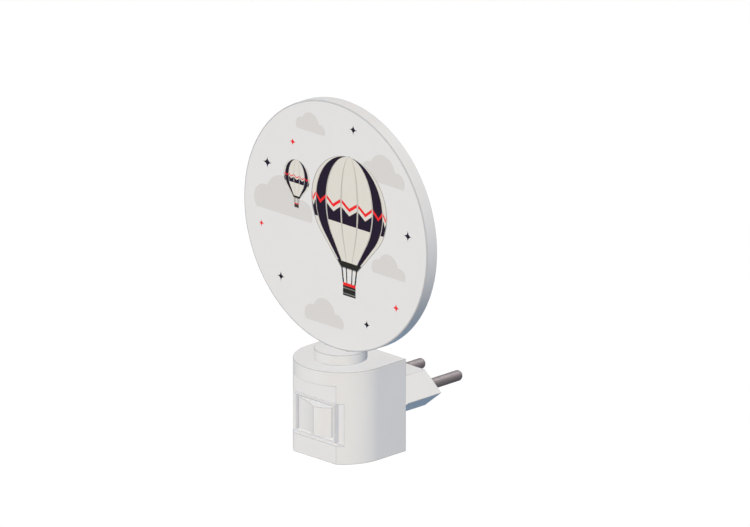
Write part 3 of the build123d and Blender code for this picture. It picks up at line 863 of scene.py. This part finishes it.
class NIGHTLIGHT_OT_plug_cover(bpy.types.Operator):
    """Models the rear cover: a plate with screw holes and the hollow six-sided plug nose"""

    bl_idname = "nightlight.plug_cover"
    bl_label = "Plug cover"

    def execute(self, context):
        housing, sizes, colours = sidebar(context, "housing plug finish")
        low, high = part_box("front_housing")
        inset = housing.cover_rim + housing.cover_gap
        seat_y = high.y - housing.cover_depth
        half = high.x - inset
        corners = ((-half, seat_y, low.z + inset), (half, high.y, high.z - inset))
        plate = add_block("plug_cover", *corners)
        nose = six_sided("nose", sizes, 0, high.y - housing.cover_depth / 2, 0)
        # The edge finish paints a shade line along the rounded edges of the plate and nose
        for piece in (plate, nose):
            dress(piece, housing_finish(colours), edge_finish(colours))
        with Editing(nose) as edit:
            edit.round_edges(sizes.edge, ROUNDED, lambda middle: middle.y > high.y + NEAR)
        side = half + housing.cover_gap / 2
        for start_x, end_x in ((-sizes.width, -side), (side, sizes.width)):
            carve(nose, (start_x, seat_y, -sizes.height), (end_x, high.y, sizes.height))
        combine(plate, nose, "UNION")
        hollow = six_sided("hollow", sizes, sizes.wall, seat_y - SPARE, -sizes.end_wall)
        combine(plate, hollow, "DIFFERENCE")
        head = sizes.head_radius + sizes.head_gap
        head_y = (high.y - sizes.head_depth, high.y + SPARE)
        shaft = sizes.shaft_radius + sizes.head_gap
        for x, z in screw_places(sizes):
            drill(plate, BOSS_STEPS, head, (x, head_y[0], z), (x, head_y[1], z))
            drill(plate, SHAFT_STEPS, shaft, (x, seat_y - SPARE, z), (x, high.y, z))
        boss = sizes.root_radius + sizes.boss_wall
        bore = sizes.root_radius + sizes.pin_gap
        root_y = -sizes.root_depth
        for node in ("plug_pin_left", "plug_pin_right"):
            pin_low, pin_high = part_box(node)
            x = (pin_low.x + pin_high.x) / 2
            weld(plate, PIN_STEPS, boss, (x, root_y, 0), (x, -sizes.end_wall / 2, 0))
            drill(plate, PIN_STEPS, bore, (x, root_y - SPARE, 0), (x, SPARE, 0))

        def on_rear(middle):
            beside_nose = abs(middle.z) > sizes.height / 2 + NEAR
            return beside_nose and abs(middle.y - high.y) < NEAR

        with Editing(plate) as edit:
            edit.tidy()
            edit.round_edges(housing.edge / 2, SOFTENED, on_rear)
        polish(plate)
        hand_over(plate, "base", "housing_white", "rear_cover")
        return {"FINISHED"}


class NIGHTLIGHT_OT_plug_pins(bpy.types.Operator):
    """Models a plug pin with its rounded tip, root, flange and tail, and copies it"""

    bl_idname = "nightlight.plug_pins"
    bl_label = "Plug pins"

    def execute(self, context):
        sizes, colours = sidebar(context, "plug finish")
        low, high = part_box("plug_pin_left")
        other_low, other_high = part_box("plug_pin_right")
        x = (low.x + high.x) / 2
        root = (x, -sizes.root_depth, 0)
        pin = add_bar("pin_left", PIN_STEPS, sizes.root_radius, root, (x, 0, 0))
        flange_radius = (high.x - low.x) / 2
        with Editing(pin) as edit:
            edit.faces_along((0, 1, 0))
            bpy.ops.mesh.inset(thickness=sizes.root_radius - sizes.pin_radius)
            edit.pull((0, high.y, 0))
            edit.pick("edges", lambda edge: all(vert.co.y > high.y - NEAR for vert in edge.verts))
            bpy.ops.mesh.bevel(offset=sizes.pin_tip, segments=TIP_STEPS, affect="EDGES")
            edit.faces_along((0, -1, 0))
            grow = flange_radius / sizes.root_radius
            edit.pull((0, 0, 0))
            bpy.ops.transform.resize(value=(grow, 1, grow), center_override=root)
            edit.pull((0, -sizes.flange, 0))
            bpy.ops.mesh.inset(thickness=flange_radius - sizes.tail_radius)
            edit.pull((0, low.y + sizes.root_depth + sizes.flange, 0))
        dress(pin, metal("dull_nickel", colours.pin, 0.58, 0.12, DRAWN_LONG, 0.08, 0.8))
        polish(pin)
        select_only(pin)
        step = (other_low.x + other_high.x) / 2 - x
        bpy.ops.object.duplicate_move(TRANSFORM_OT_translate={"value": (step, 0, 0)})
        twin = settle("pin_right")
        hand_over(pin, "base", "pin_metal", "plug_pin_left")
        hand_over(twin, "base", "pin_metal", "plug_pin_right")
        return {"FINISHED"}


class NIGHTLIGHT_OT_collar(bpy.types.Operator):
    """Models the collar with its spigot in the housing and the slot for the disc's foot"""

    bl_idname = "nightlight.collar"
    bl_label = "Collar"

    def execute(self, context):
        sizes, colours = sidebar(context, "disc finish")
        low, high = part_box("neck_collar")
        disc_low, disc_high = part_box("light_disc")
        y = (low.y + high.y) / 2
        top_z = high.z - sizes.collar_height
        spigot_z = top_z - sizes.spigot_depth
        collar = add_bar("collar", COLLAR_STEPS, high.x, (0, y, top_z), (0, y, high.z))
        with Editing(collar) as edit:
            edit.faces_along((0, 0, -1))
            bpy.ops.mesh.inset(thickness=high.x - sizes.spigot_radius)
            edit.pull((0, 0, -sizes.spigot_depth))
        slot_x = sizes.foot_width / 2 + sizes.foot_gap
        inset = sizes.foot_setback - sizes.foot_gap
        carve(
            collar,
            (-slot_x, disc_low.y + inset, spigot_z - SPARE),
            (slot_x, disc_high.y - inset, high.z + SPARE),
        )
        # The darker rim finish paints a shade line along the collar's rounded edges
        dress(collar, housing_finish(colours), edge_finish(colours, "worn_rim"))

        def at_foot(middle):
            outside = math.hypot(middle.x, middle.y - y) > sizes.spigot_radius + NEAR
            return outside and abs(middle.z - top_z) < NEAR

        with Editing(collar) as edit:
            edit.tidy()
            edit.round_edges(sizes.collar_edge, ROUNDED, lambda middle: middle.z > high.z - NEAR)
            edit.round_edges(sizes.collar_edge / 2, SOFTENED, at_foot)
        polish(collar)
        hand_over(collar, "base", "housing_white", "neck_collar")
        return {"FINISHED"}


class NIGHTLIGHT_OT_disc(bpy.types.Operator):
    """Models the opal disc with its rounded rim and foot, and prints its front"""

    bl_idname = "nightlight.disc"
    bl_label = "Disc"

    def execute(self, context):
        sizes, colours = sidebar(context, "disc finish")
        low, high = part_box("light_disc")
        radius = high.x
        middle = Vector((0, (low.y + high.y) / 2, high.z - radius))
        disc = add_bar("disc", sizes.rim_steps, radius, (0, low.y, middle.z), (0, high.y, middle.z))
        half = sizes.foot_width / 2
        foot_y = (low.y + sizes.foot_setback, high.y - sizes.foot_setback)
        foot_top = middle.z - radius + sizes.foot_rise
        foot = add_block("foot", (-half, foot_y[0], low.z), (half, foot_y[1], foot_top))
        combine(disc, foot, "UNION")
        printed = print_finish(colours, middle, radius - sizes.edge - sizes.painted_shade_line)
        # The darker rim finish paints a shade line along the disc's rounded rim
        dress(disc, disc_finish(colours), edge_finish(colours, "worn_rim"), printed)

        def on_side(place):
            return min(abs(place.y - low.y), abs(place.y - high.y)) < NEAR

        with Editing(disc) as edit:
            edit.tidy(sizes.edge)
            edit.round_edges(sizes.edge, ROUNDED, on_side)
            edit.give_finish(THIRD, lambda face: face.normal.y < -FACING)
        polish(disc)
        hand_over(disc, "base", "disc_opal", "light_disc")
        return {"FINISHED"}


class NIGHTLIGHT_OT_switch_bezel(bpy.types.Operator):
    """Models the bezel and box of the rocker switch"""

    bl_idname = "nightlight.switch_bezel"
    bl_label = "Switch bezel"

    def execute(self, context):
        housing, sizes, colours = sidebar(context, "housing switch finish")
        low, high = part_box("switch_frame")
        z = (low.z + high.z) / 2
        seat_y = low.y + housing.channel_depth
        bezel = add_block("switch_bezel", low, (high.x, seat_y, high.z))
        # The edge finishes paint shade lines along the bezel's front edges and round its mouth
        edge, worn_and_shaded = edge_finish(colours), edge_finish(colours, "worn_rim")
        dress(bezel, switch_finish(colours), worn_and_shaded, edge)
        half, tall = sizes.case_width / 2, sizes.case_height / 2
        case = add_block("case", (-half, seat_y - SPARE, z - tall), (half, high.y, z + tall))
        combine(bezel, case, "UNION")
        hole = sizes.trunnion_radius + sizes.trunnion_gap
        up = Vector((0, 0, tall))
        half, tall = sizes.opening_width / 2, sizes.opening_height / 2
        front_y, floor_y = low.y - SPARE, high.y - sizes.case_back
        carve(bezel, (-half, front_y, z - tall), (half, floor_y, z + tall))
        drill(bezel, TRUNNION_STEPS, hole, rocker_pivot - up, rocker_pivot + up)
        half, tall = half + sizes.mouth_step, tall + sizes.mouth_step
        mouth_y = low.y + sizes.mouth_depth
        carve(bezel, (-half, front_y, z - tall), (half, mouth_y, z + tall))

        def in_front(middle):
            return middle.y < low.y + NEAR

        def round_mouth(middle):
            inside = abs(middle.x) < half + NEAR and abs(middle.z - z) < tall + NEAR
            return inside and in_front(middle)

        # The opening's end walls get the darker edge finish: painted shade in the recess beside the
        # rocker's ends
        def on_shaded_end_wall(face):
            inside = abs(face.calc_center_median().x) < half + NEAR
            return inside and abs(face.normal.x) > FACING

        with Editing(bezel) as edit:
            edit.tidy()
            edit.round_edges(sizes.mouth_slope, SLOPED, round_mouth, THIRD)
            edit.round_edges(sizes.bezel_edge, SLOPED, in_front)
            edit.give_finish(THIRD, on_shaded_end_wall)
        polish(bezel)
        hand_over(bezel, "base", "switch_white", "switch_frame")
        return {"FINISHED"}


def arc_centre(start, end, rise):
    """Centre and radius of an arc over a chord, on its left from above if rise is positive."""
    chord = end - start
    radius = chord.length**2 / (8 * abs(rise)) + abs(rise) / 2
    left = Vector((-chord.y, chord.x, 0)).normalized()
    return (start + end) / 2 + left * math.copysign(radius - abs(rise), rise), radius


def rocker_form(name, sizes, inset, back):
    """The rocker's form, drawn in by an inset and cut off straight behind its pivot."""
    pivot = rocker_pivot
    up = Vector((0, 0, sizes.height / 2 - inset))
    form = add_bar(name, ROCKER_STEPS, sizes.end_radius - inset, pivot - up, pivot + up)
    with Editing(form) as edit:
        edit.cut_behind(pivot + Vector((0, back, 0)))
    ridge = pivot + Vector((sizes.ridge_side, -sizes.ridge_front, 0))
    left_x = math.sqrt(sizes.end_radius**2 - sizes.dished_front**2)
    right_x = math.sqrt(sizes.end_radius**2 - sizes.domed_front**2)
    left = pivot + Vector((-left_x, -sizes.dished_front, 0))
    right = pivot + Vector((right_x, -sizes.domed_front, 0))
    tall = up + Vector((0, 0, SPARE))
    centre, radius = arc_centre(left, ridge, -sizes.dish)
    drill(form, DISH_STEPS, radius + inset, centre - tall, centre + tall)
    centre, radius = arc_centre(ridge, right, sizes.dome)
    dome = add_bar("dome", DOME_STEPS, radius - inset, centre - tall, centre + tall)
    combine(form, dome, "INTERSECT")
    return form


class NIGHTLIGHT_OT_rocker(bpy.types.Operator):
    """Models the hollow rocker with its dished half, ridge, domed half, trunnions and post"""

    bl_idname = "nightlight.rocker"
    bl_label = "Rocker"

    def execute(self, context):
        sizes, colours = sidebar(context, "switch finish")
        pivot = rocker_pivot
        rocker = rocker_form("rocker_cap", sizes, 0, sizes.skirt)
        # The darker rim finish paints a shade line along the rocker's rounded edges
        dress(rocker, switch_finish(colours), edge_finish(colours, "worn_rim"))
        skirt_y = pivot.y + sizes.skirt
        with Editing(rocker) as edit:
            edit.tidy(sizes.edge)
            edit.round_edges(sizes.edge, SOFTENED, lambda middle: middle.y < skirt_y - NEAR)
        hollow = rocker_form("hollow", sizes, sizes.wall, sizes.skirt + SPARE)
        combine(rocker, hollow, "DIFFERENCE")
        lean = Vector((math.sin(sizes.post_lean), math.cos(sizes.post_lean), 0))
        root, tip = pivot - lean * sizes.post_front, pivot + lean * sizes.post_reach
        weld(rocker, BOSS_STEPS, sizes.post_radius, root, tip)
        bore = pivot - lean * sizes.bore_front
        drill(rocker, TRUNNION_STEPS, sizes.bore_radius, bore, tip + lean * SPARE)
        inner = Vector((0, 0, (sizes.height - sizes.wall) / 2))
        outer = Vector((0, 0, sizes.height / 2 + sizes.trunnion))
        for side in (-1, 1):
            ends = (pivot + inner * side, pivot + outer * side)
            weld(rocker, TRUNNION_STEPS, sizes.trunnion_radius, *ends)
        polish(rocker)
        hand_over(rocker, "rocker", "switch_white", "switch_rocker")
        return {"FINISHED"}


# Driver and light source: CAD node, name of the finish, tone, flecks, repeats per metre, roughness
FLECKED_PIECES = (
    ("driver_board", "phenolic", (0.36, 0.25, 0.12), (0.46, 0.34, 0.18), 700.0, 0.55),
    ("led_board", "white_lacquer", (0.76, 0.76, 0.74), (0.82, 0.82, 0.80), 500.0, 0.35),
    ("led_chips", "chip_lens", (0.80, 0.62, 0.16), (0.86, 0.72, 0.28), 1800.0, 0.30),
    ("led_leads", "red_sleeve", (0.50, 0.05, 0.04), (0.60, 0.07, 0.05), 800.0, 0.60),
    ("film_capacitor", "dipped_red", (0.56, 0.07, 0.04), (0.66, 0.11, 0.06), 600.0, 0.28),
    ("smoothing_capacitor", "shrink_sleeve", (0.02, 0.02, 0.035), (0.05, 0.05, 0.08), 900.0, 0.3),
    ("bridge_rectifier", "epoxy", (0.022, 0.022, 0.022), (0.05, 0.05, 0.05), 2200.0, 0.6),
)
BROWN, BLACK, GREY = (0.16, 0.06, 0.02), (0.01, 0.01, 0.01), (0.30, 0.30, 0.30)
GOLD, COATING = (0.60, 0.40, 0.08), (0.26, 0.38, 0.47)
# Colour bands of the resistors, at shares of half the body's length from its middle
RESISTOR_BANDS = {
    "fusible_resistor": ((-0.55, BROWN), (-0.25, BLACK), (0.05, BLACK), (0.55, GOLD)),
    "discharge_resistor": ((-0.55, BROWN), (-0.25, BLACK), (0.05, GREY), (0.55, GOLD)),
}
RESISTOR_WIRE = 0.0018  # bare wire at each end of a resistor, in metres


class NIGHTLIGHT_OT_fasteners(bpy.types.Operator):
    """Finishes the screws of the rear cover and of the driver board"""

    bl_idname = "nightlight.fasteners"
    bl_label = "Fasteners"

    def execute(self, context):
        zinc = metal("zinc_plate", (0.46, 0.46, 0.45), 0.36, 0.2, EVEN, 0.1)
        for node in ("cover_screws", "board_screws"):
            dress_node(node, zinc)
        return {"FINISHED"}


class NIGHTLIGHT_OT_switch_works(bpy.types.Operator):
    """Finishes the spring, plunger, see-saw contact and terminals inside the switch"""

    bl_idname = "nightlight.switch_works"
    bl_label = "Switch works"

    def execute(self, context):
        wire = metal("spring_wire", (0.40, 0.40, 0.42), 0.28, 0.15, EVEN, 0.08)
        dress_node("rocker_spring", wire)
        nylon = flecked("nylon", (0.58, 0.56, 0.50), (0.64, 0.62, 0.56), 900.0, 0.45)
        dress_node("rocker_plunger", nylon)
        bronze = metal("contact_bronze", (0.66, 0.42, 0.22), 0.34, 0.25, DRAWN_SHORT, 0.14)
        for node in ("contact_bridge", "centre_terminal", "switched_terminal"):
            dress_node(node, bronze)
        return {"FINISHED"}


class NIGHTLIGHT_OT_driver(bpy.types.Operator):
    """Finishes the driver board, its parts and the light source"""

    bl_idname = "nightlight.driver"
    bl_label = "Driver and light source"

    def execute(self, context):
        for node, *finish in FLECKED_PIECES:
            dress_node(node, flecked(*finish))
        for node, bands in RESISTOR_BANDS.items():
            low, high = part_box(node)
            middle = (low.z + high.z) / 2
            half = (high.z - low.z) / 2 - RESISTOR_WIRE
            dress_node(node, banded(node + "_coat", COATING, bands, middle, half))
        return {"FINISHED"}


# Name, degrees to the right of the front, degrees above the horizon, red, green and blue strength
SOFT_LIGHTS = (
    ("key_light", 30, 15, (2.057, 1.397, 0.634)),
    ("sky_light", 45, 60, (0.331, 0.739, 1.159)),
    ("right_light", 90, 60, (1.87, 1.78, 1.72)),
    ("left_light", -60, 15, (1.49, 1.56, 1.64)),
    ("rear_left_light", -135, 30, (0.661, 0.342, 0.072)),
    ("rear_light", -150, 0, (1.715, 1.903, 2.025)),
    ("front_bounce", 30, -30, (0.56, 0.996, 1.517)),
    ("left_bounce", -45, -45, (0.443, 0.466, 0.524)),
    ("rear_bounce", 150, -15, (0.0, 0.151, 0.415)),
    ("shine_light", 182, 47, (0.53, 0.56, 0.59)),
)
SHINY_LIGHTS = ("right_light", "left_light", "shine_light")
SHINE_ONLY = ("shine_light",)
SOFTNESS = math.radians(12)
FLOOR_SIZE = 8.0  # metres
FLOOR_TONES = (0.245, 0.245, 0.245), (0.255, 0.255, 0.255)
WHITE = (1.0, 1.0, 1.0, 1.0)
FARTHEST = 10.0  # metres that the camera sees


class NIGHTLIGHT_OT_stage(bpy.types.Operator):
    """Sets up the pale floor, the soft studio light and the camera"""

    bl_idname = "nightlight.stage"
    bl_label = "Stage"

    def execute(self, context):
        scene = context.scene
        settings = scene.night_light_stage
        low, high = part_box("front_housing")
        self.lay_floor(settings, low.z)
        self.fill_world(scene, settings)
        for name, azimuth, elevation, strength in SOFT_LIGHTS:
            turn = (math.radians(90 - elevation), 0, math.radians(azimuth))
            bpy.ops.object.light_add(type="SUN", rotation=turn)
            lamp = context.object
            lamp.name = name
            lamp.data.energy = max(strength)
            lamp.data.color = [part / max(strength) for part in strength]
            lamp.data.angle = SOFTNESS
            lamp.data.use_shadow = False
            lamp.visible_glossy = name in SHINY_LIGHTS
            lamp.visible_diffuse = name not in SHINE_ONLY
        turn = (math.pi / 2 - settings.elevation, 0, settings.azimuth)
        bpy.ops.object.camera_add(rotation=turn)
        camera = context.object
        camera.data.type = "ORTHO"
        camera.data.ortho_scale = settings.view_width
        side, above, back = camera.rotation_euler.to_matrix().col
        axis = Vector((0, low.y + high.x, high.z))
        aim = axis + side * settings.aim_side + above * settings.aim_up
        camera.location = aim + back * settings.distance
        camera.data.clip_end = FARTHEST
        scene.camera = camera
        scene.view_settings.view_transform = "Standard"
        return {"FINISHED"}

    def lay_floor(self, settings, height):
        """A wide pale floor under the housing."""
        bpy.ops.object.select_all(action="DESELECT")
        bpy.ops.mesh.primitive_plane_add(size=FLOOR_SIZE, location=(0, 0, height))
        floor = settle("floor")
        material, place = begin_finish("pale_floor")
        paper = noise(place, PAPER, 3.0)
        base = paper.mix(*FLOOR_TONES)
        rough = 0.9 + paper * 0.05
        glow = {"Emission_Color": WHITE, "Emission_Strength": settings.floor_glow}
        end_finish(base, rough, paper, 0.02, FINE_DEPTH, Specular_IOR_Level=0.0, **glow)
        dress(floor, material)
        floor.visible_diffuse = False
        floor.visible_glossy = False

    def fill_world(self, scene, settings):
        """Even light from all round, with a plain pale backdrop for the camera."""
        world = bpy.data.worlds.new("studio")
        world.use_nodes = True
        world.node_tree.nodes.clear()
        scene.world = world
        start = Channel(world.node_tree)
        glossy = start.node("ShaderNodeLightPath", {}, output="Is Glossy Ray")
        seen = start.node("ShaderNodeLightPath", {}, output="Is Camera Ray")
        tone = seen.mix(glossy.mix(settings.ambient, settings.reflected), settings.backdrop)
        light = tone.node("ShaderNodeBackground", {"Color": tone})
        tone.node("ShaderNodeOutputWorld", {"Surface": light})


OPERATORS = (
    NIGHTLIGHT_OT_housing,
    NIGHTLIGHT_OT_plug_cover,
    NIGHTLIGHT_OT_plug_pins,
    NIGHTLIGHT_OT_collar,
    NIGHTLIGHT_OT_disc,
    NIGHTLIGHT_OT_switch_bezel,
    NIGHTLIGHT_OT_rocker,
    NIGHTLIGHT_OT_fasteners,
    NIGHTLIGHT_OT_switch_works,
    NIGHTLIGHT_OT_driver,
    NIGHTLIGHT_OT_stage,
)
SETTINGS = {
    "night_light_housing": HousingSizes,
    "night_light_plug": PlugSizes,
    "night_light_disc": DiscSizes,
    "night_light_switch": SwitchSizes,
    "night_light_finish": FinishColours,
    "night_light_stage": StageSettings,
}


class NIGHTLIGHT_PT_sidebar(bpy.types.Panel):
    """Lists the night light's settings and the operators that build it"""

    bl_idname = "NIGHTLIGHT_PT_sidebar"
    bl_label = "Night light"
    bl_space_type = "VIEW_3D"
    bl_region_type = "UI"
    bl_category = "Night light"

    def draw(self, context):
        for operator in OPERATORS:
            self.layout.operator(operator.bl_idname)
        for name in SETTINGS:
            group = getattr(context.scene, name)
            box = self.layout.box()
            for key in group.__annotations__:
                box.prop(group, key)


def register():
    for name, group in SETTINGS.items():
        bpy.utils.register_class(group)
        setattr(bpy.types.Scene, name, PointerProperty(type=group))
    for operator in OPERATORS:
        bpy.utils.register_class(operator)
    bpy.utils.register_class(NIGHTLIGHT_PT_sidebar)


def unregister():
    bpy.utils.unregister_class(NIGHTLIGHT_PT_sidebar)
    for operator in reversed(OPERATORS):
        bpy.utils.unregister_class(operator)
    for name, group in SETTINGS.items():
        delattr(bpy.types.Scene, name)
        bpy.utils.unregister_class(group)


def main():
    register()
    for operator in OPERATORS:
        family, action = operator.bl_idname.split(".")
        getattr(getattr(bpy.ops, family), action)()


if __name__ == "__main__":
    main()
